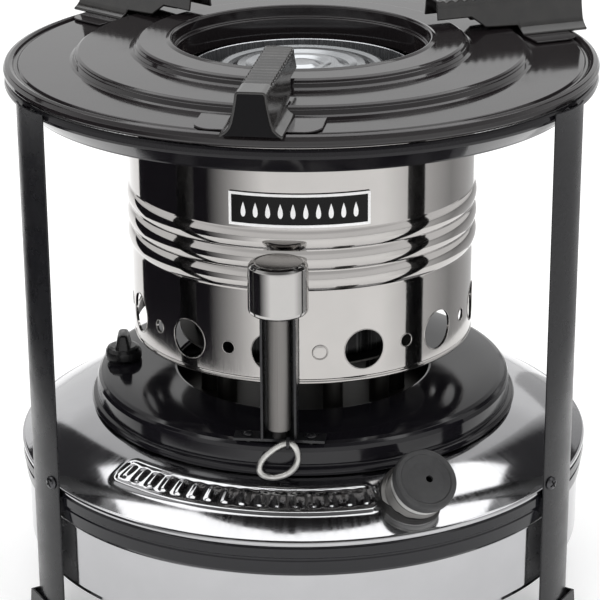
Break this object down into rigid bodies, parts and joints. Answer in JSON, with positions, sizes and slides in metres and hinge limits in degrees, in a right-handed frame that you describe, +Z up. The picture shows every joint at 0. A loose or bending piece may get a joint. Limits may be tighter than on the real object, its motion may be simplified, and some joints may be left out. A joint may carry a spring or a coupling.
{
  "type": "kerosene wick stove",
  "caption": "Free-standing kerosene cooking stove: chromed round fuel tank with filler cap, chromed burner drum over wick tubes, black stepped top plate on strip legs, ridged pot supports.",
  "frame": {"origin": "on the ground, on the axis of the tank and burner, at the middle of the footprint", "axes": "+Z up; the control knob and filler face -Y (front); +X to the right seen from the front"},
  "size_m": [0.2646, 0.2741, 0.266],
  "materials": {
    "tank_chrome": "chromed sheet steel, slightly soft reflections",
    "bright_chrome": "bright chrome plate",
    "satin_steel": "drawn satin steel",
    "black_enamel": "gloss black enamel",
    "support_enamel": "ridged dark enamel, semi-gloss",
    "black_paint": "semi-gloss black paint",
    "burner_steel": "plain steel, dulled",
    "zinc_wire": "zinc plated",
    "black_plastic": "moulded black plastic, matte",
    "gasket_rubber": "plain",
    "label_paint": "black with a thin pale border, no text",
    "wick_cotton": "woven cotton"
  },
  "bodies": {
    "stove_frame": {"tank_bowl": "tank_chrome", "tank_floor": "tank_chrome", "tank_dome": "tank_chrome", "seam_band": "black_paint", "leg_left": "black_paint", "leg_right": "black_paint", "leg_rear": "black_paint", "foot_left": "black_paint", "foot_right": "black_paint", "foot_rear": "black_paint", "leg_screw_left": "zinc_wire", "leg_screw_right": "zinc_wire", "leg_screw_rear": "zinc_wire", "top_plate": "black_enamel", "plate_skirt": "black_enamel", "pot_support_front": "support_enamel", "pot_support_right": "support_enamel", "pot_support_left": "support_enamel", "gallery": "black_enamel", "control_bracket": "black_paint", "bracket_rivet_left": "black_paint", "bracket_rivet_right": "black_paint", "control_tube": "satin_steel", "filler_neck": "satin_steel", "burner_floor": "burner_steel", "burner_ring": "burner_steel", "wick_tube_01": "burner_steel", "wick_tube_02": "burner_steel", "wick_tube_03": "burner_steel", "wick_tube_04": "burner_steel", "wick_tube_05": "burner_steel", "wick_tube_06": "burner_steel", "wick_tube_07": "burner_steel", "wick_tube_08": "burner_steel", "wick_tube_09": "burner_steel", "wick_tube_10": "burner_steel"},
    "control": {"control_knob": "bright_chrome", "control_spindle": "zinc_wire"},
    "wick_set": {"wick_carrier": "zinc_wire", "wick_01": "wick_cotton", "wick_02": "wick_cotton", "wick_03": "wick_cotton", "wick_04": "wick_cotton", "wick_05": "wick_cotton", "wick_06": "wick_cotton", "wick_07": "wick_cotton", "wick_08": "wick_cotton", "wick_09": "wick_cotton", "wick_10": "wick_cotton"},
    "burner_set": {"burner_drum": "bright_chrome", "label_plate": "label_paint", "outer_flame_sleeve": "burner_steel", "inner_flame_sleeve": "burner_steel", "flame_spreader": "burner_steel", "cross_pin": "zinc_wire"},
    "ring": {"pull_ring": "zinc_wire"},
    "cap_lift": {"cap_gasket": "gasket_rubber"},
    "cap_turn": {"cap_skirt": "satin_steel", "cap_top": "black_plastic"},
    "side_control": {"side_knob": "black_plastic"}
  },
  "joints": [
    {"name": "control_turn", "type": "hinge", "parent": "stove_frame", "child": "control", "pos_m": [-0.0104, -0.09242, 0.158], "axis": [0, 0, 1], "range_deg": [0, 1801]},
    {"name": "wick_raise", "type": "slide", "parent": "stove_frame", "child": "wick_set", "axis": [0, 0, 1], "range_m": [0, 0.02]},
    {"name": "burner_raise", "type": "slide", "parent": "stove_frame", "child": "burner_set", "axis": [0, 0, 1], "range_m": [0, 0.012]},
    {"name": "ring_swing", "type": "hinge", "parent": "stove_frame", "child": "ring", "pos_m": [-0.01114, -0.09897, 0.1009], "axis": [-0.9937, 0.1118, 0], "range_deg": [0, 70]},
    {"name": "cap_rise", "type": "slide", "parent": "stove_frame", "child": "cap_lift", "axis": [0.291, -0.6445, 0.7071], "range_m": [0, 0.006]},
    {"name": "cap_unscrew", "type": "hinge", "parent": "cap_lift", "child": "cap_turn", "pos_m": [0.05196, -0.11589, 0.0916], "axis": [0.291, -0.6445, 0.7071], "range_deg": [0, 1081]},
    {"name": "side_knob_turn", "type": "hinge", "parent": "stove_frame", "child": "side_control", "pos_m": [-0.08395, 0.00293, 0.11], "axis": [0, 0, 1], "range_deg": [0, 90]}
  ],
  "couplings": [
    {"joint": "control_turn", "follows": "wick_raise", "rad_per_m": 1570.8},
    {"joint": "cap_unscrew", "follows": "cap_rise", "rad_per_m": 3141.6}
  ]
}
